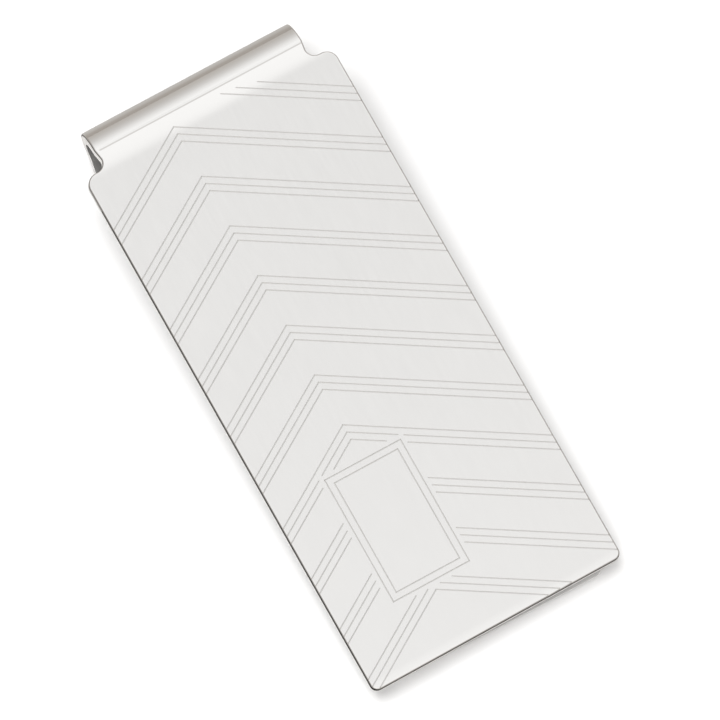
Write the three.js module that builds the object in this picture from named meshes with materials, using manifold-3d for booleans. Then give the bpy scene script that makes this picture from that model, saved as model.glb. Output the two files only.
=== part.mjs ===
// Money clip: one stamped and folded sheet of plated brass, in three zones.
// front_plate is the wide decorative plate with its shouldered neck, spring_bow is the round fold that works as
// the spring, and back_arm is the narrower leaf that runs under the plate and presses notes against it.
// Millimetres, +Z up. The clip lies on its back: it stands on the arm's belly and on the arm's tip,
// +X runs from the fold to the free end, and the origin is below the middle of the object, on the surface.

import * as THREE from "three";
import { mergeVertices } from "three/addons/utils/BufferGeometryUtils.js";
import Module from "manifold-3d";

// Driving dimensions. Lengths along the clip are measured from the shoulder line, where the plate becomes the neck.
const SHEET = 1.0;
const PLATE_WIDTH = 24.0;
const PLATE_LENGTH = 50.0;
const SHOULDER_RADIUS = 1.1;
const NOTCH_RADIUS = 0.8;
const FREE_CORNER_RADIUS = 0.7;
const NECK_WIDTH = 19.8;
const FOLD_WIDTH = 20.1;
const ARM_WIDTH = 20.4;
const ARM_WIDENS_FROM = -2.6;
const ARM_WIDENS_TO = -1.0;
const NECK_BEND_RADIUS = 10.0;
const NECK_BEND = THREE.MathUtils.degToRad(10);
const BOW_RADIUS = 2.65;
const ARM_DIVERGENCE = THREE.MathUtils.degToRad(28);
const BELLY_RADIUS = 14.0;
const CREST_RADIUS = 12.0;
const CREST_AT = 43.5;
const NOTE_GAP = 0.3;
const LIP_FLARE = THREE.MathUtils.degToRad(8);
const TIP_AT = 49.9;
const TIP_CORNER_RADIUS = 0.7;
const SEAM_GAP = 0.3;
const ARC_STEPS = 18;

const HALF = SHEET / 2;
const QUARTER_TURN = Math.PI / 2;
const BLANK_DEPTH = 40;

// The side profile, in the plate's own frame: x along the clip, y up, y = 0 on the plate's face.
const neckCentre = new THREE.Vector2(0, -NECK_BEND_RADIUS);
const creaseAngle = QUARTER_TURN + NECK_BEND;
const bowCentre = onCircle(neckCentre, NECK_BEND_RADIUS - BOW_RADIUS, creaseAngle);
const bowMiddle = BOW_RADIUS - HALF;
const armAngle = 3 * QUARTER_TURN - ARM_DIVERGENCE;
const bellyCentre = onCircle(bowCentre, bowMiddle - BELLY_RADIUS, armAngle);
const crestCentre = new THREE.Vector2(CREST_AT, -SHEET - NOTE_GAP - HALF - CREST_RADIUS);
const armRise = tangentRise(bellyCentre, crestCentre, BELLY_RADIUS + CREST_RADIUS);
const lipStart = onCircle(crestCentre, CREST_RADIUS, QUARTER_TURN - LIP_FLARE);
const lipLength = (TIP_AT - lipStart.x) / Math.cos(LIP_FLARE);
const tip = lipStart.clone().add(
  new THREE.Vector2(Math.cos(LIP_FLARE), -Math.sin(LIP_FLARE)).multiplyScalar(lipLength),
);
const acrossLip = new THREE.Vector2(Math.sin(LIP_FLARE), Math.cos(LIP_FLARE)).multiplyScalar(HALF);
const tipBottom = tip.clone().sub(acrossLip);
const tipTop = tip.clone().add(acrossLip);

// The plate's slope on the table: the line that touches the belly and the tip's lower edge.
const restSlope = tangentRise(bellyCentre, tipBottom, BELLY_RADIUS + HALF);

const wasm = await Module();
wasm.setup();

function onCircle(centre, radius, angle) {
  return new THREE.Vector2(centre.x + radius * Math.cos(angle), centre.y + radius * Math.sin(angle));
}

// The slope of the line that touches the bottom of the first circle and the top of the second, where `reach` is
// the sum of the two radii. A bare point stands for the second circle when `reach` is the first radius alone.
function tangentRise(first, second, reach) {
  const dx = second.x - first.x;
  const dy = second.y - first.y;
  return Math.atan2(dx, -dy) - Math.acos(reach / Math.hypot(dx, dy));
}

function solidOf(geometry) {
  geometry.deleteAttribute("normal");
  geometry.deleteAttribute("uv");
  const merged = mergeVertices(geometry, 1e-4);
  return new wasm.Manifold(
    new wasm.Mesh({
      numProp: 3,
      vertProperties: merged.attributes.position.array,
      triVerts: new Uint32Array(merged.index.array),
    }),
  );
}

function geometryOf(solid) {
  const mesh = solid.getMesh();
  const geometry = new THREE.BufferGeometry();
  geometry.setAttribute("position", new THREE.BufferAttribute(mesh.vertProperties, 3));
  geometry.setIndex(new THREE.BufferAttribute(mesh.triVerts, 1));
  geometry.computeVertexNormals();
  return geometry;
}

// A side profile drawn in x and y becomes a sheet of that profile, `width` wide across Y.
function acrossWidth(profile, width) {
  const geometry = new THREE.ExtrudeGeometry(profile, {
    depth: width,
    bevelEnabled: false,
    curveSegments: ARC_STEPS,
  });
  geometry.translate(0, 0, -width / 2);
  geometry.rotateX(QUARTER_TURN);
  return solidOf(geometry);
}

// A plan outline drawn in x and y becomes an upright block that cuts a sheet to that outline.
function cutter(outline) {
  const geometry = new THREE.ExtrudeGeometry(outline, {
    depth: BLANK_DEPTH,
    bevelEnabled: false,
    curveSegments: ARC_STEPS,
  });
  geometry.translate(0, 0, -BLANK_DEPTH / 2);
  return solidOf(geometry);
}

// The blank of the plate and its neck: square shoulders with round corners, filleted where the neck begins.
function frontOutline() {
  const half = PLATE_WIDTH / 2;
  const neck = NECK_WIDTH / 2;
  const narrow = FOLD_WIDTH / 2;
  const neckEnd = -NECK_BEND_RADIUS;
  const outline = new THREE.Shape();
  outline.moveTo(neckEnd, -narrow);
  outline.lineTo(-BOW_RADIUS, -narrow);
  outline.lineTo(-NOTCH_RADIUS, -neck);
  outline.absarc(-NOTCH_RADIUS, -neck - NOTCH_RADIUS, NOTCH_RADIUS, QUARTER_TURN, 0, true);
  outline.absarc(SHOULDER_RADIUS, -half + SHOULDER_RADIUS, SHOULDER_RADIUS, Math.PI, 3 * QUARTER_TURN, false);
  roundEnd(outline, PLATE_LENGTH, half, FREE_CORNER_RADIUS);
  outline.absarc(SHOULDER_RADIUS, half - SHOULDER_RADIUS, SHOULDER_RADIUS, QUARTER_TURN, Math.PI, false);
  outline.absarc(-NOTCH_RADIUS, neck + NOTCH_RADIUS, NOTCH_RADIUS, 0, -QUARTER_TURN, true);
  outline.lineTo(-BOW_RADIUS, narrow);
  outline.lineTo(neckEnd, narrow);
  return outline;
}

// The square end of a strip at x = end, with its two corners rounded.
function roundEnd(outline, end, half, radius) {
  outline.absarc(end - radius, -half + radius, radius, -QUARTER_TURN, 0, false);
  outline.absarc(end - radius, half - radius, radius, 0, QUARTER_TURN, false);
}

// The blank of the arm: as wide as the fold where it starts, soon a little wider, with a round-cornered tip.
function armOutline() {
  const half = ARM_WIDTH / 2;
  const narrow = FOLD_WIDTH / 2;
  const outline = new THREE.Shape();
  roundEnd(outline, tipTop.x, half, TIP_CORNER_RADIUS);
  outline.lineTo(ARM_WIDENS_TO, half);
  outline.lineTo(ARM_WIDENS_FROM, narrow);
  outline.lineTo(-NECK_BEND_RADIUS, narrow);
  outline.lineTo(-NECK_BEND_RADIUS, -narrow);
  outline.lineTo(ARM_WIDENS_FROM, -narrow);
  outline.lineTo(ARM_WIDENS_TO, -half);
  return outline;
}

function frontPlate() {
  const end = creaseAngle - SEAM_GAP / 2 / NECK_BEND_RADIUS;
  const profile = new THREE.Shape();
  profile.absarc(neckCentre.x, neckCentre.y, NECK_BEND_RADIUS, QUARTER_TURN, end, false);
  profile.absarc(neckCentre.x, neckCentre.y, NECK_BEND_RADIUS - SHEET, end, QUARTER_TURN, true);
  profile.lineTo(PLATE_LENGTH + SHEET, -SHEET);
  profile.lineTo(PLATE_LENGTH + SHEET, 0);
  return acrossWidth(profile, PLATE_WIDTH + SHEET).intersect(cutter(frontOutline()));
}

function springBow() {
  const seam = SEAM_GAP / 2 / bowMiddle;
  const profile = new THREE.Shape();
  profile.absarc(bowCentre.x, bowCentre.y, BOW_RADIUS, creaseAngle + seam, armAngle - seam, false);
  profile.absarc(bowCentre.x, bowCentre.y, BOW_RADIUS - SHEET, armAngle - seam, creaseAngle + seam, true);
  return acrossWidth(profile, FOLD_WIDTH);
}

function backArm() {
  const start = armAngle + SEAM_GAP / 2 / BELLY_RADIUS;
  const bellyEnd = 3 * QUARTER_TURN + armRise;
  const crestStart = QUARTER_TURN + armRise;
  const crestEnd = QUARTER_TURN - LIP_FLARE;
  const profile = new THREE.Shape();
  profile.absarc(bellyCentre.x, bellyCentre.y, BELLY_RADIUS + HALF, start, bellyEnd, false);
  profile.absarc(crestCentre.x, crestCentre.y, CREST_RADIUS - HALF, crestStart, crestEnd, true);
  profile.lineTo(tipBottom.x, tipBottom.y);
  profile.lineTo(tipTop.x, tipTop.y);
  profile.absarc(crestCentre.x, crestCentre.y, CREST_RADIUS + HALF, crestEnd, crestStart, false);
  profile.absarc(bellyCentre.x, bellyCentre.y, BELLY_RADIUS - HALF, bellyEnd, start, true);
  return acrossWidth(profile, ARM_WIDTH).intersect(cutter(armOutline()));
}

const plated = new THREE.MeshStandardMaterial({ color: 0xdcdbd8, roughness: 0.16, metalness: 1 });
const platedBow = new THREE.MeshStandardMaterial({ color: 0xd6d4d0, roughness: 0.1, metalness: 1 });
const platedArm = new THREE.MeshStandardMaterial({ color: 0xd2d1ce, roughness: 0.22, metalness: 1 });

const clip = new THREE.Group();
const subparts = [
  ["front_plate", frontPlate(), plated],
  ["spring_bow", springBow(), platedBow],
  ["back_arm", backArm(), platedArm],
];
for (const [name, solid, material] of subparts) {
  const mesh = new THREE.Mesh(geometryOf(solid), material);
  mesh.name = name;
  clip.add(mesh);
}

// Lay the clip on the surface, then put the origin below its middle.
clip.rotation.y = restSlope;
clip.updateMatrixWorld(true);
const reach = new THREE.Box3().setFromObject(clip, true);
clip.position.set(-(reach.min.x + reach.max.x) / 2, 0, -reach.min.z);

const part = new THREE.Group();
part.add(clip);
part.updateMatrixWorld(true);
export default part;
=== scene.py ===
"""Money clip: the engraved plate, its spring fold and its back arm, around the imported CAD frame.

Shapes are drawn in the plate's own frame, in millimetres: x along the clip from the shoulder line
to the free end, y across it, z up from the plate's face. place() tips them onto the table and
turns them into metres. The sheet itself is drawn flat, as a blank, and folded() bends it.
"""

import math

import bmesh
import bpy
import numpy as np
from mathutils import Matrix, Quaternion, Vector
from mathutils.geometry import delaunay_2d_cdt


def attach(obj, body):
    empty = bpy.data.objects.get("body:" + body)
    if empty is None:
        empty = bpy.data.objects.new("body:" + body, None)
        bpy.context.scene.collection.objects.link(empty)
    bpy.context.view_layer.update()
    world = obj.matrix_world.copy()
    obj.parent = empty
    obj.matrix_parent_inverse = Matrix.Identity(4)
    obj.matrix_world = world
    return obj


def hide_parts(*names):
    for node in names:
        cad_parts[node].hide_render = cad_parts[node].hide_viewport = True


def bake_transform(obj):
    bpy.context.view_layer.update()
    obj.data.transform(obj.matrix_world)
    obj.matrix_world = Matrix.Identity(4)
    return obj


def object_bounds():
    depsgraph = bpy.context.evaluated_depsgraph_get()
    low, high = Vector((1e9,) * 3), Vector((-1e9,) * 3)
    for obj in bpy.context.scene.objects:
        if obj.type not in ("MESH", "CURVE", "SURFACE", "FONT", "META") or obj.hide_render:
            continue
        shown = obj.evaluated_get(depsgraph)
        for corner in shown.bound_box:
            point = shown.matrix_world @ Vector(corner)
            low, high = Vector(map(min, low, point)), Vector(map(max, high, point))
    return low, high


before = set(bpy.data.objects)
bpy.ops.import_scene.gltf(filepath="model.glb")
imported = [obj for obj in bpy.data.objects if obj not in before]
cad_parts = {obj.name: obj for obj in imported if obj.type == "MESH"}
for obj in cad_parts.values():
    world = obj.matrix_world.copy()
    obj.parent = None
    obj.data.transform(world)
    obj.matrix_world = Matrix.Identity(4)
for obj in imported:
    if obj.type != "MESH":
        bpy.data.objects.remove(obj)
cad_low, cad_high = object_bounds()

# The folded sheet, as the CAD model has it.
SHEET = 1.0
PLATE_WIDTH = 24.0
PLATE_LENGTH = 50.0
SHOULDER_RADIUS = 1.1
NOTCH_RADIUS = 0.8
FREE_CORNER_RADIUS = 0.7
NECK_WIDTH = 19.8
FOLD_WIDTH = 20.1
ARM_WIDTH = 20.4
ARM_WIDENS_OVER = 1.4
NECK_BEND_RADIUS = 10.0
NECK_BEND = math.radians(10)
BOW_RADIUS = 2.65
ARM_DIVERGENCE = math.radians(28)
BELLY_RADIUS = 14.0
CREST_RADIUS = 12.0
CREST_AT = 43.5
NOTE_GAP = 0.3
LIP_FLARE = math.radians(8)
TIP_AT = 49.9
TIP_CORNER_RADIUS = 0.7
HALF = SHEET / 2
QUARTER_TURN = math.pi / 2

# What the CAD model leaves out: the ends cut a little aslant, the sheared edge from the face down, the
# buffed free end, and how far before the neck's bend its shading begins.
FREE_END_SLANT = math.radians(0.3)
TIP_SLANT = math.radians(0.84)
TIP_CUT_BACK = 0.22
EDGE_ROUND = 0.2
# CUT_STARTS and FRACTURE_AT also bound the band of the cut edge that is painted dark, a painted reflection.
CUT_STARTS = math.radians(50)
FRACTURE_AT = 0.84
FRACTURE_FLARE = 0.05
BURR = 0.06
BUFFED_LENGTH = 1.0
BUFFED_FALL = math.radians(2.6)
BEND_SEEN_FROM = 0.7

# The engraving: chevrons of three parallel lines, and a double frame that interrupts them.
GROOVE_HALF_WIDTH = 0.055
GROOVE_DEPTH = 0.05
CHEVRON_LEAN = math.radians(58.5)
CHEVRON_AXIS = -3.15
FIRST_APEX = -0.28
CHEVRON_PITCH = 4.855
PARTIAL_APEX = -5.28
CHEVRON_COUNT = 10
LINES_IN_CHEVRON = 3
LINE_SPACING = 0.70
LEFT_STOP = 11.85
PARTIAL_STARTS = (4.95, 3.12, 1.73)
FRAME_LOW = (32.24, -6.80)
FRAME_HIGH = (44.03, 0.48)
FRAME_LINE_GAP = 0.6
FRAME_CLEARANCE = 0.45
PAST_EDGE = 1.0
CREASE_HALF_WIDTH = 0.155
CREASE_DEPTH = 0.046
CREASE_CENTRE = 1.02 * CREASE_HALF_WIDTH
CREASE_STARTS = 0.5

# The studio, in metres. The table's mirrored colour is a painted reflection, darker than the table as seen:
# it runs from NEAR to FAR, and a painted shadow makes it darkest in the box at the clip's foot, between the
# two FOOT corners. TENT: height of the
# direction, brightness, warmth. OPENING: the direction of the tent's opening.
TABLE = 0.80
TABLE_REACH = 3.0
MIRRORED_NEAR = (0.37, 0.36, 0.345, 1)
MIRRORED_FAR = (0.275, 0.255, 0.235, 1)
# Painted shadow: the table as mirrored at the clip's foot, nearly black, inside the box below.
MIRRORED_FOOT_SHADOW = (0.015, 0.015, 0.015, 1)
FOOT_SHADOW_LOW = (-0.0215, -0.0145)
FOOT_SHADOW_HIGH = (0.0290, 0.0145)
NEAR = 0.031
FAR = 0.050
TENT = (
    (0.00, 0.47, 0.13),
    (0.07, 0.49, 0.13),
    (0.25, 0.53, 0.10),
    (0.41, 0.59, 0.07),
    (0.55, 0.68, 0.05),
    (0.67, 0.81, 0.03),
    (0.765, 0.925, 0.02),
    (0.85, 1.03, 0.01),
    (0.91, 1.11, 0.01),
    (1.00, 1.11, 0.01),
)
OPENING = (-0.10, 0.165, 0.981)
OPENING_SPREAD = 0.055
OPENING_DEPTH = 0.225
SIDE_CONTRAST = 0.7
TENT_SEEN = (0.98, 0.98, 0.98, 1)

# How finely things are drawn.
PATH_STEPS = 400
BEND_STEPS = 16
BUFFED_STEPS = 8
BOW_STEPS = 48
BELLY_STEPS = 40
BACK_STEPS = 10
CREST_STEPS = 18
ARC_STEPS = 10
ROUND_STEPS = 6
SHARP_ANGLE = math.radians(24)
TINY = 1e-6
WELD = 1e-5
LEVEL_SLACK = 1e-4
MITRE_LIMIT = 0.3
CORNER_LIMIT = 0.6

# Socket numbers of a colour mix node.
MIX_A, MIX_B, MIX_RESULT = 6, 7, 2


# ---------------------------------------------------------------- the side profile and the resting place


def on_circle(centre, radius, angle):
    return centre + radius * np.array([math.cos(angle), math.sin(angle)])


def tangent_rise(first, second, reach):
    """The slope of the line that touches the bottom of the first circle and the top of the second.

    reach is the sum of their radii. A bare point counts as a circle of no radius.
    """
    dx, dy = second - first
    return math.atan2(dx, -dy) - math.acos(reach / math.hypot(dx, dy))


neck_centre = np.array([0.0, -NECK_BEND_RADIUS])
crease_angle = QUARTER_TURN + NECK_BEND
bow_centre = on_circle(neck_centre, NECK_BEND_RADIUS - BOW_RADIUS, crease_angle)
bow_middle = BOW_RADIUS - HALF
arm_angle = 3 * QUARTER_TURN - ARM_DIVERGENCE
belly_centre = on_circle(bow_centre, bow_middle - BELLY_RADIUS, arm_angle)
crest_centre = np.array([CREST_AT, -SHEET - NOTE_GAP - HALF - CREST_RADIUS])
arm_rise = tangent_rise(belly_centre, crest_centre, BELLY_RADIUS + CREST_RADIUS)
belly_end = on_circle(belly_centre, BELLY_RADIUS, 3 * QUARTER_TURN + arm_rise)
crest_start = on_circle(crest_centre, CREST_RADIUS, QUARTER_TURN + arm_rise)
lip_start = on_circle(crest_centre, CREST_RADIUS, QUARTER_TURN - LIP_FLARE)
lip_length = (TIP_AT - lip_start[0]) / math.cos(LIP_FLARE)
lip_heading = np.array([math.cos(LIP_FLARE), -math.sin(LIP_FLARE)])
tip = lip_start + lip_heading * lip_length
tip_bottom = tip - HALF * np.array([math.sin(LIP_FLARE), math.cos(LIP_FLARE)])
rest_slope = tangent_rise(belly_centre, tip_bottom, BELLY_RADIUS + HALF)


def tipped(points):
    """Plate-frame points, turned about Y onto the slope at which the clip lies."""
    points = np.asarray(points, float)
    c, s = math.cos(rest_slope), math.sin(rest_slope)
    x, y, z = points[..., 0], points[..., 1], points[..., 2]
    return np.stack([x * c + z * s, y, z * c - x * s], -1)


def rest_offset():
    """From the tipped plate frame to the row frame: the fold and the belly touch the CAD box."""
    bow = tipped([bow_centre[0], 0, bow_centre[1]])
    belly = tipped([belly_centre[0], 0, belly_centre[1]])
    return np.array([cad_low.x * 1000 + BOW_RADIUS - bow[0], 0, BELLY_RADIUS + HALF - belly[2]])


REST_OFFSET = rest_offset()


def place(points):
    """Plate-frame millimetres to row-frame metres."""
    return (tipped(points) + REST_OFFSET) / 1000


# ---------------------------------------------------------------- the engraving


CLEAR_LOW = np.array(FRAME_LOW) - FRAME_CLEARANCE
CLEAR_HIGH = np.array(FRAME_HIGH) + FRAME_CLEARANCE


def outside_frame(point):
    return bool(np.any(point < CLEAR_LOW) or np.any(point > CLEAR_HIGH))


def cut_by_frame(start, end):
    """The stretches of a straight line that lie outside the frame's clearance."""
    step = end - start
    enter, leave = 0.0, 1.0
    for i in range(2):
        near, far = sorted(((CLEAR_LOW[i] - start[i]) / step[i], (CLEAR_HIGH[i] - start[i]) / step[i]))
        enter, leave = max(enter, near), min(leave, far)
    if enter >= leave:
        return [(start, end)]
    pieces = [(start, start + step * enter)] if enter > TINY else []
    return pieces + ([(start + step * leave, end)] if leave < 1 - TINY else [])


def part_lines(lean):
    """The three lines of the first chevron, of which only the right ends are cut."""
    lines = []
    for line, start in enumerate(PARTIAL_STARTS):
        apex = PARTIAL_APEX + LINE_SPACING * line
        ends = (start, PLATE_WIDTH / 2 + PAST_EDGE)
        lines.append([np.array([apex + (y - CHEVRON_AXIS) * lean, y]) for y in ends])
    return lines


def chevron_lines():
    """Centre lines of all the chevrons' grooves, as lists of points."""
    lines = []
    lean = 1 / math.tan(CHEVRON_LEAN)
    right_reach = PLATE_WIDTH / 2 + PAST_EDGE - CHEVRON_AXIS
    left_reach = LEFT_STOP + CHEVRON_AXIS
    for chevron in range(CHEVRON_COUNT):
        for line in range(LINES_IN_CHEVRON):
            apex_at = FIRST_APEX + CHEVRON_PITCH * chevron + LINE_SPACING * line
            apex = np.array([apex_at, CHEVRON_AXIS])
            left = apex + left_reach * np.array([lean, -1.0])
            right = apex + right_reach * np.array([lean, 1.0])
            legs = cut_by_frame(apex, left), cut_by_frame(apex, right)
            whole = outside_frame(apex)
            if whole:
                lines.append([legs[0][0][1], apex, legs[1][0][1]])
            for leg in legs:
                lines += [[*stretch] for stretch in leg[1 if whole else 0:]]
    return lines + part_lines(lean)


def frame_rings():
    """The two rectangles of the plain panel's double frame."""
    rings = []
    for inset in (0.0, FRAME_LINE_GAP):
        (x0, y0), (x1, y1) = np.array(FRAME_LOW) + inset, np.array(FRAME_HIGH) - inset
        rings.append([np.array(p) for p in ((x0, y0), (x1, y0), (x1, y1), (x0, y1))])
    return rings


def offset_line(points, closed, distance):
    """The line moved to its left by that distance, with mitred corners."""
    count = len(points)
    moved = []
    for i, point in enumerate(points):
        sides = []
        if closed or i > 0:
            sides.append(point - points[i - 1])
        if closed or i < count - 1:
            sides.append(points[(i + 1) % count] - point)
        sides = [d / np.linalg.norm(d) for d in sides]
        normals = [np.array([-d[1], d[0]]) for d in sides]
        middle = sum(normals) / np.linalg.norm(sum(normals))
        moved.append(point + middle * distance / max(MITRE_LIMIT, float(middle @ normals[0])))
    return moved


class Groove:
    """One V-shaped cut along a line."""

    def __init__(self, points, closed=False, half_width=GROOVE_HALF_WIDTH, depth=GROOVE_DEPTH):
        self.points, self.closed = [np.asarray(p, float) for p in points], closed
        self.half_width, self.depth = half_width, depth

    def outlines(self):
        """The two banks and the bottom, each as (points, closed)."""
        left = offset_line(self.points, self.closed, self.half_width)
        right = offset_line(self.points, self.closed, -self.half_width)
        if self.closed:
            return [(left, True), (self.points, True), (right, True)]
        ends = [self.points[0] - (self.points[1] - self.points[0]) * self.end_share(0),
                self.points[-1] - (self.points[-2] - self.points[-1]) * self.end_share(-1)]
        bank = [ends[0], *left, ends[1], *reversed(right)]
        return [(bank, True), ([ends[0], *self.points, ends[1]], False)]

    def end_share(self, end):
        other = self.points[1] if end == 0 else self.points[-2]
        return self.half_width / np.linalg.norm(self.points[end] - other)

    def depth_at(self, where):
        """How deep the cut is at each of those points, 0 outside it."""
        nearest = np.full(len(where), np.inf)
        count = len(self.points)
        for i in range(count if self.closed else count - 1):
            a, b = self.points[i], self.points[(i + 1) % count]
            along = np.clip(((where - a) @ (b - a)) / ((b - a) @ (b - a)), 0, 1)
            nearest = np.minimum(nearest, np.linalg.norm(where - a - along[:, None] * (b - a), axis=1))
        return self.depth * np.clip(1 - nearest / self.half_width, 0, 1)


def all_grooves():
    grooves = [Groove(line) for line in chevron_lines()]
    grooves += [Groove(ring, closed=True) for ring in frame_rings()]
    across = [(CREASE + CREASE_CENTRE, y) for y in (CREASE_STARTS - FOLD_WIDTH / 2, FOLD_WIDTH)]
    grooves.append(Groove(across, half_width=CREASE_HALF_WIDTH, depth=CREASE_DEPTH))
    return grooves


# ---------------------------------------------------------------- the folded blank


def buffed_end():
    """Rows of the fold path over the free end's last stretch, which is buffed down a little."""
    rows = []
    for angle in np.linspace(BUFFED_FALL, 0, BUFFED_STEPS + 1):
        at = PLATE_LENGTH - BUFFED_LENGTH * (1 - angle / BUFFED_FALL)
        drop = (at - PLATE_LENGTH + BUFFED_LENGTH) * math.tan(angle / 2)
        rows.append((at, at, -drop, math.sin(angle), math.cos(angle)))
    return rows


def soften_neck(path):
    """The path with the neck's normals turning from a little before the bend, evenly up to the crease."""
    neck = (path[:, 0] >= CREASE) & (path[:, 0] <= 0)
    lean = NECK_BEND * (BEND_SEEN_FROM - path[neck, 0]) / (BEND_SEEN_FROM - CREASE)
    path[neck, 3], path[neck, 4] = -np.sin(lean), np.cos(lean)
    start = int(np.searchsorted(path[:, 0], BEND_SEEN_FROM))
    return np.insert(path, start, (BEND_SEEN_FROM, BEND_SEEN_FROM, 0, 0, 1), 0)


def fold_path():
    """Samples along the sheet's outer face, from the arm's tip round the fold to the free end.

    Each row holds the distance along the blank, the place in side view (x, z) and the normal (x, z).
    """
    rows = buffed_end()
    rows.append((0, 0, 0, 0, 1))

    def add_arc(centre, radius, start, end):
        begun = rows[-1][0]
        side = math.copysign(1, end - start)
        for angle in np.linspace(start, end, PATH_STEPS + 1)[1:]:
            facing = np.array([math.cos(angle), math.sin(angle)])
            at = begun - radius * abs(angle - start)
            rows.append((at, *(centre + radius * facing), *(side * facing)))

    def add_line(length):
        at, x, z, nx, nz = rows[-1]
        rows.append((at - length, x - nz * length, z + nx * length, nx, nz))

    belly_stop = 3 * QUARTER_TURN + arm_rise
    add_arc(neck_centre, NECK_BEND_RADIUS, QUARTER_TURN, crease_angle)
    add_arc(bow_centre, BOW_RADIUS, crease_angle, arm_angle)
    add_arc(belly_centre, BELLY_RADIUS + HALF, arm_angle, belly_stop)
    add_line(float(np.linalg.norm(crest_start - belly_end)))
    add_arc(crest_centre, CREST_RADIUS - HALF, QUARTER_TURN + arm_rise, QUARTER_TURN - LIP_FLARE)
    add_line(lip_length)
    return soften_neck(np.array(rows[::-1], float))


def folded(points):
    """Points of the flat blank (distance, across, height) on the folded clip, and the normals there."""
    along, across, height = points.T
    x, z, nx, nz = (np.interp(along, FOLD[:, 0], FOLD[:, i]) for i in (1, 2, 3, 4))
    past = np.minimum(0, along - FOLD[0, 0])
    over = np.maximum(0, along - PLATE_LENGTH)
    moved = [x + past * nz + over + height * nx, across, z - past * nx + height * nz]
    return np.column_stack(moved), np.column_stack([nx, 0 * nx, nz])


def turned(directions):
    """Plate-frame directions in the row frame."""
    return tipped(directions) / np.linalg.norm(directions, axis=1)[:, None]


CREASE = -NECK_BEND_RADIUS * NECK_BEND
FOLD = fold_path()
ARM_START = CREASE - BOW_RADIUS * (arm_angle - crease_angle)
BELLY_STOP = ARM_START - (BELLY_RADIUS + HALF) * (3 * QUARTER_TURN + arm_rise - arm_angle)
TIP = FOLD[0, 0]
LIP_STARTS = TIP + lip_length
CREST_STARTS = LIP_STARTS + (CREST_RADIUS - HALF) * (arm_rise + LIP_FLARE)

# The materials' numbers on every piece.
POLISHED, SHEARED_PAINTED_DARK, BROKEN, ENGRAVED, DARK_RIM, INNER = range(6)


def arc(centre, radius, start, end):
    angles = np.linspace(start, end, ARC_STEPS + 1)
    return [(centre[0] + radius * math.cos(a), centre[1] + radius * math.sin(a)) for a in angles]


def plate_outline(inset):
    """The plate and its neck, anticlockwise. The neck runs on past the crease, where it will be cut off."""
    half, neck, narrow = PLATE_WIDTH / 2, NECK_WIDTH / 2, FOLD_WIDTH / 2
    shoulder = SHOULDER_RADIUS - inset
    corner = FREE_CORNER_RADIUS - inset
    corner_at = (PLATE_LENGTH - FREE_CORNER_RADIUS, -half + FREE_CORNER_RADIUS)
    lower = [(2 * CREASE, -narrow + inset), (CREASE, -narrow + inset)]
    lower += arc((-NOTCH_RADIUS, -neck - NOTCH_RADIUS), NOTCH_RADIUS + inset, QUARTER_TURN, 0)
    lower += arc((SHOULDER_RADIUS, -half + SHOULDER_RADIUS), shoulder, math.pi, 3 * QUARTER_TURN)
    lower += arc(corner_at, corner, -QUARTER_TURN, 0)
    return slanted(mirrored(lower), PLATE_LENGTH / 2, math.inf, FREE_END_SLANT)


def bow_outline(inset):
    """A plain strip, longer than the fold at both ends, where it will be cut off."""
    narrow = FOLD_WIDTH / 2 - inset
    return mirrored([(ARM_START + CREASE, -narrow), (0, -narrow)])


def arm_outline(inset):
    """The arm's blank: it widens just after the fold, and its tip is cut a little aslant."""
    half, narrow = ARM_WIDTH / 2, FOLD_WIDTH / 2
    corner = TIP_CORNER_RADIUS - inset
    corner_at = (TIP + TIP_CUT_BACK + TIP_CORNER_RADIUS, -half + TIP_CORNER_RADIUS)
    lower = arc(corner_at, corner, -math.pi, -QUARTER_TURN)
    lower += [(ARM_START - ARM_WIDENS_OVER, -half + inset), (ARM_START, -narrow + inset)]
    outline = mirrored(lower + [(0, -narrow + inset)])
    return slanted(outline, -math.inf, TIP / 2, TIP_SLANT)


def slanted(outline, low, high, slant):
    """The outline with its points between low and high shifted, so that the end there is cut aslant."""
    half = PLATE_WIDTH / 2
    step = math.tan(slant)
    return [p - np.array([step * (p[1] + half), 0]) if low < p[0] < high else p for p in outline]


def mirrored(lower):
    """An outline from its lower half, closed by the same points at the other side."""
    return [np.array(p) for p in lower + [(x, -y) for x, y in reversed(lower)]]


def edge_profile():
    """The sheared edge from face to face: (reach, level, share of a groove's depth, material)."""
    quarter = np.linspace(0, QUARTER_TURN, ROUND_STEPS + 1)
    upper = EDGE_ROUND - FRACTURE_FLARE
    rows = []
    for angle in quarter[1:]:
        # From CUT_STARTS down to FRACTURE_AT the wall takes the dark colour: a painted dark reflection.
        what = SHEARED_PAINTED_DARK if angle > CUT_STARTS else POLISHED
        rows.append((upper * math.sin(angle), -EDGE_ROUND * (1 - math.cos(angle)), math.cos(angle), what))
    rows.append((upper, -FRACTURE_AT, 0, SHEARED_PAINTED_DARK))
    rows.append((EDGE_ROUND, -FRACTURE_AT - FRACTURE_FLARE, 0, BROKEN))
    for angle in quarter:
        reach = EDGE_ROUND - BURR * (1 - math.cos(angle))
        rows.append((reach, -SHEET + BURR * (1 - math.sin(angle)), 0, BROKEN))
    return rows


def inside(polygon, where):
    """Which points lie inside the polygon."""
    polygon = np.asarray(polygon)
    x, y = where[:, 0], where[:, 1]
    result = np.zeros(len(where), bool)
    for (x0, y0), (x1, y1) in zip(polygon, np.roll(polygon, -1, 0)):
        if y0 == y1:
            continue
        crosses = (y0 > y) != (y1 > y)
        result ^= crosses & (x < (x1 - x0) * (y - y0) / (y1 - y0) + x0)
    return result


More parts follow.
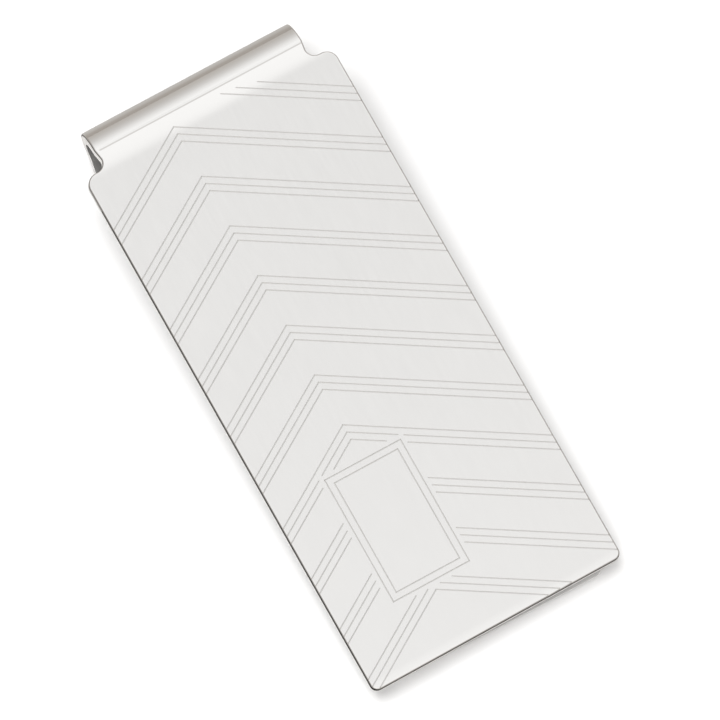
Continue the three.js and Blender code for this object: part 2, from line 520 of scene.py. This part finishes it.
def engraved_face(outline, grooves):
    """Triangles that cover the outline and follow every groove, with their points' heights."""
    coords, edges = [], []

    def add(points, closed):
        base = len(coords)
        coords.extend(Vector((float(p[0]), float(p[1]))) for p in points)
        last = len(points) if closed else len(points) - 1
        edges.extend((base + i, base + (i + 1) % len(points)) for i in range(last))

    add(outline, True)
    for groove in grooves:
        for points, closed in groove.outlines():
            add(points, closed)
    made, _, faces, *_ = delaunay_2d_cdt(coords, edges, [], 0, WELD)
    flat = np.array([tuple(v) for v in made])
    middles = np.array([flat[list(f)].mean(0) for f in faces])
    kept = [tuple(f) for f, ok in zip(faces, inside(outline, middles)) if ok]
    depth = np.zeros(len(flat))
    for groove in grooves:
        depth = np.maximum(depth, groove.depth_at(flat))
    return flat, -depth, kept


def border(faces):
    """The face's outer loop of point numbers, in the order of its triangles' edges."""
    sides = dict.fromkeys(side for face in faces for side in zip(face, face[1:] + face[:1]))
    follow = {a: b for a, b in sides if (b, a) not in sides}
    loop = [next(iter(follow))]
    while follow[loop[-1]] != loop[0]:
        loop.append(follow[loop[-1]])
    return loop


def outward(points):
    """For each point of an anticlockwise loop, the step that moves both its sides out by one."""
    before = points - np.roll(points, 1, 0)
    after = np.roll(points, -1, 0) - points
    lengths = [np.linalg.norm(d, axis=1)[:, None] for d in (before, after)]
    normals = [np.stack([d[:, 1], -d[:, 0]], 1) / length for d, length in zip((before, after), lengths)]
    middle = normals[0] + normals[1]
    middle /= np.linalg.norm(middle, axis=1)[:, None]
    return middle / np.maximum(CORNER_LIMIT, np.sum(middle * normals[0], 1))[:, None]


def flat_blank(outline, grooves):
    """The blank lying flat, face up: its points, its faces and each face's material number."""
    flat, height, faces = engraved_face(outline(EDGE_ROUND), grooves)
    engraved_below = -(CREASE_DEPTH + GROOVE_DEPTH) / 2
    kinds = [ENGRAVED if height[list(face)].min() < engraved_below else POLISHED for face in faces]
    ring = border(faces)
    edge, cut = flat[ring], height[ring]
    step = outward(edge)
    count, base = len(ring), len(flat)
    points = [np.column_stack([flat, height])]
    for reach, level, share, kind in edge_profile():
        points.append(np.column_stack([edge + step * reach, level + cut * share]))
        new = list(range(base, base + count))
        faces += [(ring[i], new[i], new[(i + 1) % count], ring[(i + 1) % count]) for i in range(count)]
        kinds += [kind] * count
        ring, base = new, base + count
    # The underside, which faces into the clip once folded, takes the darker inner material: painted shade.
    faces.append(tuple(reversed(ring)))
    return np.concatenate(points), faces, kinds + [INNER]


def cut_and_divide(work, cuts):
    """Divide the blank along every fold line, and drop what lies beyond its ends."""
    for at, drop in cuts:
        bmesh.ops.bisect_plane(
            work,
            geom=[*work.verts, *work.edges, *work.faces],
            dist=TINY,
            plane_co=(at, 0, 0),
            plane_no=(1, 0, 0),
            clear_inner=drop < 0,
            clear_outer=drop > 0,
        )
        if drop:
            bmesh.ops.edgeloop_fill(work, edges=[e for e in work.edges if e.is_boundary])


def lighten_fold_edge(work):
    """On the neck and the fold the cut edge's painted dark band keeps only its rim, painted darker still for
    its dark reflection, and the rest is broken metal.
    """
    for face in work.faces:
        at = face.calc_center_median()
        if face.material_index == SHEARED_PAINTED_DARK and ARM_START < at.x < 0:
            face.material_index = DARK_RIM if at.z > -EDGE_ROUND else BROKEN


def bare_blank(outline, grooves, cuts):
    """The blank as an editable mesh, lying flat and divided along its fold lines."""
    points, faces, kinds = flat_blank(outline, grooves)
    work = bmesh.new()
    verts = [work.verts.new(p) for p in points]
    for face, kind in zip(faces, kinds):
        work.faces.new([verts[i] for i in face]).material_index = kind
    bmesh.ops.delete(work, geom=[v for v in work.verts if not v.link_faces], context="VERTS")
    cut_and_divide(work, cuts)
    lighten_fold_edge(work)
    bmesh.ops.remove_doubles(work, verts=work.verts, dist=WELD)
    bmesh.ops.recalc_face_normals(work, faces=work.faces)
    return work


def folded_piece(name, outline, grooves, cuts, materials):
    """A stretch of the blank between the outermost cuts, folded along all of them."""
    work = bare_blank(outline, grooves, cuts)
    flat = np.array([v.co for v in work.verts])
    moved, facing = folded(flat)
    for vert, co in zip(work.verts, place(moved)):
        vert.co = co
    mesh = bpy.data.meshes.new(name)
    work.to_mesh(mesh)
    work.free()
    mesh.polygons.foreach_set("use_smooth", [True] * len(mesh.polygons))
    mesh.set_sharp_from_angle(angle=SHARP_ANGLE)
    set_face_normals(mesh, flat[:, 2], turned(facing))
    for material in materials:
        mesh.materials.append(material)
    piece = bpy.data.objects.new(name, mesh)
    bpy.context.scene.collection.objects.link(piece)
    return piece


def set_face_normals(mesh, height, facing):
    """The sheet's two faces take the bend's own normals, so that reflections run smoothly over them."""
    normals = [tuple(corner.vector) for corner in mesh.corner_normals]
    for polygon in mesh.polygons:
        corners = [mesh.loops[i].vertex_index for i in polygon.loop_indices]
        levels = height[corners]
        side = 1 if levels.min() > -WELD else -1 if levels.max() < -SHEET + LEVEL_SLACK else 0
        if side:
            for i, corner in zip(polygon.loop_indices, corners):
                normals[i] = tuple(side * facing[corner])
    mesh.normals_split_custom_set(normals)


def spread_cuts(start, end, steps, drops=(0, 0)):
    """Evenly spaced fold lines (place, drop): drop -1 removes what lies before it, 1 what lies after."""
    places = np.linspace(start, end, steps + 1)
    return list(zip(places, [drops[0], *[0] * (steps - 1), drops[1]]))


def front_plate(materials):
    cuts = spread_cuts(CREASE, 0, BEND_STEPS, (-1, 0)) + [(BEND_SEEN_FROM, 0)]
    cuts += spread_cuts(PLATE_LENGTH - BUFFED_LENGTH, PLATE_LENGTH, BUFFED_STEPS)[:-1]
    return folded_piece("engraved_plate", plate_outline, all_grooves(), cuts, materials)


def spring_bow(materials):
    cuts = spread_cuts(ARM_START, CREASE, BOW_STEPS, (-1, 1))
    return folded_piece("sprung_fold", bow_outline, [], cuts, materials)


def back_arm(materials):
    cuts = [(ARM_START, 1)]
    cuts += spread_cuts(BELLY_STOP, ARM_START, BELLY_STEPS)[:-1]
    cuts += spread_cuts(CREST_STARTS, BELLY_STOP, BACK_STEPS)[:-1]
    cuts += spread_cuts(LIP_STARTS, CREST_STARTS, CREST_STEPS)[:-1]
    return folded_piece("back_leaf", arm_outline, [], cuts, materials)


# ---------------------------------------------------------------- materials


CLOUD_SCALE, CLOUD_DETAIL, CLOUD_TONE = 160, 3, 0.975
WAVE_SCALE, WAVE_DETAIL, WAVE_HEIGHT = 90, 1, 0.0001
STREAK_DETAIL, STREAK_HEIGHT = 4, 0.00002
ALONG_CLIP = (0.02, 1, 1)
EVENLY = (1, 1, 1)
NOISE_LOW, NOISE_HIGH = 0.3, 0.7
SMOOTHEST, ROUGHEST = 0.85, 1.2


def feed(tree, socket, value):
    """Link the socket to an output, or set it to a value. None leaves it alone."""
    if isinstance(value, bpy.types.NodeSocket):
        tree.links.new(value, socket)
    elif value is not None:
        socket.default_value = value


def mathed(tree, operation, first, second=None):
    node = tree.nodes.new("ShaderNodeMath")
    node.operation = operation
    feed(tree, node.inputs[0], first)
    feed(tree, node.inputs[1], second)
    return node.outputs[0]


def mixed(tree, factor, first, second, kind="MIX"):
    node = tree.nodes.new("ShaderNodeMix")
    node.data_type = "RGBA"
    node.blend_type = kind
    feed(tree, node.inputs["Factor"], factor)
    feed(tree, node.inputs[MIX_A], first)
    feed(tree, node.inputs[MIX_B], second)
    return node.outputs[MIX_RESULT]


def ranged(tree, value, from_low, from_high, to_low=0.0, to_high=1.0):
    node = tree.nodes.new("ShaderNodeMapRange")
    limits = {"From Min": from_low, "From Max": from_high, "To Min": to_low, "To Max": to_high}
    for name, limit in limits.items():
        node.inputs[name].default_value = limit
    tree.links.new(value, node.inputs["Value"])
    return node.outputs["Result"]


def noise(tree, where, scale, detail, stretch):
    mapping = tree.nodes.new("ShaderNodeMapping")
    mapping.inputs["Scale"].default_value = stretch
    tree.links.new(where, mapping.inputs["Vector"])
    texture = tree.nodes.new("ShaderNodeTexNoise")
    texture.inputs["Scale"].default_value = scale
    texture.inputs["Detail"].default_value = detail
    tree.links.new(mapping.outputs["Vector"], texture.inputs["Vector"])
    return texture.outputs["Fac"]


def bump(tree, height, strength, distance, under=None):
    node = tree.nodes.new("ShaderNodeBump")
    node.inputs["Strength"].default_value = strength
    node.inputs["Distance"].default_value = distance
    tree.links.new(height, node.inputs["Height"])
    feed(tree, node.inputs["Normal"], under)
    return node.outputs["Normal"]


def plated(name, colour, rough, streak, streak_scale, wave, metallic=1.0):
    """Plated metal: cloudy tone, fine drawn streaks along the clip and a slight unevenness of the polish."""
    material = bpy.data.materials.new(name)
    material.use_nodes = True
    tree = material.node_tree
    shader = tree.nodes["Principled BSDF"]
    shader.inputs["Metallic"].default_value = metallic
    where = tree.nodes.new("ShaderNodeTexCoord").outputs["Object"]
    cloud = noise(tree, where, CLOUD_SCALE, CLOUD_DETAIL, EVENLY)
    streaks = noise(tree, where, streak_scale, STREAK_DETAIL, ALONG_CLIP)
    waves = noise(tree, where, WAVE_SCALE, WAVE_DETAIL, EVENLY)
    darker = (*[c * CLOUD_TONE for c in colour], 1)
    fine = bump(tree, streaks, streak, STREAK_HEIGHT)
    feed(tree, shader.inputs["Base Color"], mixed(tree, cloud, darker, (*colour, 1)))
    spread = ranged(tree, streaks, NOISE_LOW, NOISE_HIGH, rough * SMOOTHEST, rough * ROUGHEST)
    feed(tree, shader.inputs["Roughness"], spread)
    feed(tree, shader.inputs["Normal"], bump(tree, waves, wave, WAVE_HEIGHT, fine))
    return material


def foot_shadow_mask(tree, where):
    """1 on the strips of table at the foot of the plate's near side and of its free end, where the mirrored
    table gets a painted shadow.
    """
    split = tree.nodes.new("ShaderNodeSeparateXYZ")
    tree.links.new(where, split.inputs[0])
    within = []
    for at, low, high in zip(split.outputs, FOOT_SHADOW_LOW, FOOT_SHADOW_HIGH):
        above, below = mathed(tree, "GREATER_THAN", at, low), mathed(tree, "LESS_THAN", at, high)
        within.append(mathed(tree, "MULTIPLY", above, below))
    return mathed(tree, "MULTIPLY", *within)


def floor_material():
    """A plain pale table. Mirrored in the metal it shows a painted reflection, dimmer, as a table is that a
    light tent closes in, and a painted shadow at the clip's foot.
    """
    material = bpy.data.materials.new("table")
    material.use_nodes = True
    tree = material.node_tree
    shader = tree.nodes["Principled BSDF"]
    shader.inputs["Roughness"].default_value = 0.7
    shader.inputs["Specular IOR Level"].default_value = 0.0
    where = tree.nodes.new("ShaderNodeTexCoord").outputs["Object"]
    reach = tree.nodes.new("ShaderNodeVectorMath")
    reach.operation = "LENGTH"
    tree.links.new(where, reach.inputs[0])
    distance = ranged(tree, reach.outputs["Value"], NEAR, FAR)
    # Painted reflection: glossy rays see these darker colours in place of the table's own.
    mirrored_table = mixed(tree, distance, MIRRORED_NEAR, MIRRORED_FAR)
    # Painted shadow: the mirrored table turns nearly black at the clip's foot.
    mirrored_table = mixed(tree, foot_shadow_mask(tree, where), mirrored_table, MIRRORED_FOOT_SHADOW)
    in_metal = tree.nodes.new("ShaderNodeLightPath").outputs["Is Glossy Ray"]
    feed(tree, shader.inputs["Base Color"], mixed(tree, in_metal, (TABLE, TABLE, TABLE, 1), mirrored_table))
    return material


# ---------------------------------------------------------------- studio


def make_floor():
    """The table rides on the arm, which lies on it, so that the plate is what rises when the clip opens."""
    points = [(x * TABLE_REACH, y * TABLE_REACH, 0) for x, y in ((-1, -1), (1, -1), (1, 1), (-1, 1))]
    mesh = bpy.data.meshes.new("table")
    mesh.from_pydata(points, [], [(0, 1, 2, 3)])
    mesh.materials.append(floor_material())
    table = bpy.data.objects.new("table", mesh)
    bpy.context.scene.collection.objects.link(table)
    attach(table, "arm")


def opening_spot(tree, direction):
    """1, and less than that softly round the direction of the opening."""
    towards = tree.nodes.new("ShaderNodeVectorMath")
    towards.operation = "DOT_PRODUCT"
    towards.inputs[1].default_value = Vector(OPENING).normalized()
    tree.links.new(direction, towards.inputs[0])
    away = mathed(tree, "SUBTRACT", towards.outputs["Value"], 1.0)
    spot = mathed(tree, "EXPONENT", mathed(tree, "DIVIDE", away, OPENING_SPREAD**2))
    return mathed(tree, "SUBTRACT", 1.0, mathed(tree, "MULTIPLY", spot, OPENING_DEPTH))


def tent_ramp(tree, height):
    ramp = tree.nodes.new("ShaderNodeValToRGB")
    elements = ramp.color_ramp.elements
    while len(elements) < len(TENT):
        elements.new(0.5)
    for element, (at, level, warmth) in zip(elements, TENT):
        element.position = at
        element.color = (level * (1 + warmth / 2), level, level * (1 - warmth / 2), 1)
    tree.links.new(height, ramp.inputs["Fac"])
    return ramp.outputs["Color"]


def ramp_world():
    """A light tent, dimmer towards its foot, on two of its sides, and softly round its opening."""
    world = bpy.data.worlds.new("tent")
    bpy.context.scene.world = world
    world.use_nodes = True
    tree = world.node_tree
    direction = tree.nodes.new("ShaderNodeTexCoord").outputs["Generated"]
    split = tree.nodes.new("ShaderNodeSeparateXYZ")
    tree.links.new(direction, split.inputs["Vector"])
    diagonal = mathed(tree, "MULTIPLY", split.outputs["X"], split.outputs["Y"])
    sides = mathed(tree, "SUBTRACT", 1.0, mathed(tree, "MULTIPLY", diagonal, SIDE_CONTRAST))
    level = mathed(tree, "MULTIPLY", opening_spot(tree, direction), sides)
    grey = tree.nodes.new("ShaderNodeCombineXYZ")
    for socket in grey.inputs:
        tree.links.new(level, socket)
    tent = mixed(tree, 1.0, tent_ramp(tree, split.outputs["Z"]), grey.outputs[0], "MULTIPLY")
    seen = tree.nodes.new("ShaderNodeLightPath").outputs["Is Camera Ray"]
    feed(tree, tree.nodes["Background"].inputs["Color"], mixed(tree, seen, tent, TENT_SEEN))


def make_light(name, direction, distance, size, power):
    """A soft round lamp, aimed at the clip. It lights the table and isn't mirrored in the metal."""
    data = bpy.data.lights.new(name, "AREA")
    data.shape = "DISK"
    data.size = size
    data.energy = power
    light = bpy.data.objects.new(name, data)
    direction = Vector(direction).normalized()
    light.location = direction * distance
    light.rotation_mode = "QUATERNION"
    light.rotation_quaternion = direction.to_track_quat("Z", "Y")
    light.visible_glossy = False
    bpy.context.scene.collection.objects.link(light)


def make_camera():
    """A long lens above the free end's side. The plate runs from the upper left to the lower right."""
    azimuth, elevation, roll = math.radians(57.28), math.radians(74.23), math.radians(3.4)
    target = Vector((0.00174, 0.00085, 0.005))
    distance = 1.0114
    data = bpy.data.cameras.new("camera")
    data.lens = 603
    data.sensor_width = 36
    data.clip_start = 0.01
    camera = bpy.data.objects.new("camera", data)
    level = math.cos(elevation)
    back = Vector((math.sin(azimuth) * level, -math.cos(azimuth) * level, math.sin(elevation)))
    camera.location = target + back * distance
    camera.rotation_mode = "QUATERNION"
    camera.rotation_quaternion = (-back).to_track_quat("-Z", "Y") @ Quaternion((0, 0, 1), roll)
    bpy.context.scene.collection.objects.link(camera)
    bpy.context.scene.camera = camera


# ---------------------------------------------------------------- the object


silver = (0.83, 0.825, 0.815)
dull_silver = (0.80, 0.795, 0.785)
plate_metal = plated("plate_metal", silver, 0.13, 0.03, 5200, 0.004)
bow_metal = plated("bow_metal", silver, 0.10, 0.03, 6000, 0.006)
arm_metal = plated("arm_metal", dull_silver, 0.20, 0.1, 5200, 0.01)
# Painted reflection: the sheared band of the cut edges is coloured dark for the dark surroundings it would
# mirror.
sheared_painted_dark = plated("sheared_edge_painted_dark", (0.27, 0.267, 0.262), 0.12, 0.1, 9000, 0.01)
broken = plated("broken_edge", (0.84, 0.835, 0.825), 0.5, 0.3, 9000, 0.03, metallic=0.4)
# The grooves are rougher, as cut metal is, and their colour a little darker than the plate's: painted shade
# in the cuts.
engraved_painted_shade = plated("engraved_metal_painted_shade", dull_silver, 0.3, 0.1, 9000, 0.01)
# Painted reflection: the rim of the fold's cut edge, darker still.
dark_rim = plated("dark_rim", (0.12, 0.118, 0.115), 0.3, 0.1, 9000, 0.01)
# Painted shade: the sheet's inner faces, inside the clip, are a darker, duller copy of the silver.
inner_painted_shade = plated("inner_metal_painted_shade", (0.55, 0.545, 0.535), 0.4, 0.1, 5200, 0.01, metallic=0.8)
edges = [sheared_painted_dark, broken, engraved_painted_shade, dark_rim, inner_painted_shade]

plate = front_plate([plate_metal, *edges])
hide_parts("front_plate")
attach(plate, "front")

bow = spring_bow([bow_metal, *edges])
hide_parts("spring_bow")
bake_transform(bow)

arm = back_arm([arm_metal, broken, *edges[1:]])
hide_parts("back_arm")
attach(arm, "arm")

make_floor()
ramp_world()
make_light("key", (-0.15, -0.14, 0.97), 0.7, 0.42, 3.6)
make_light("fill", (0.5, -0.6, 0.9), 0.9, 0.5, 1.8)
make_camera()
bpy.context.scene.view_settings.view_transform = "Standard"
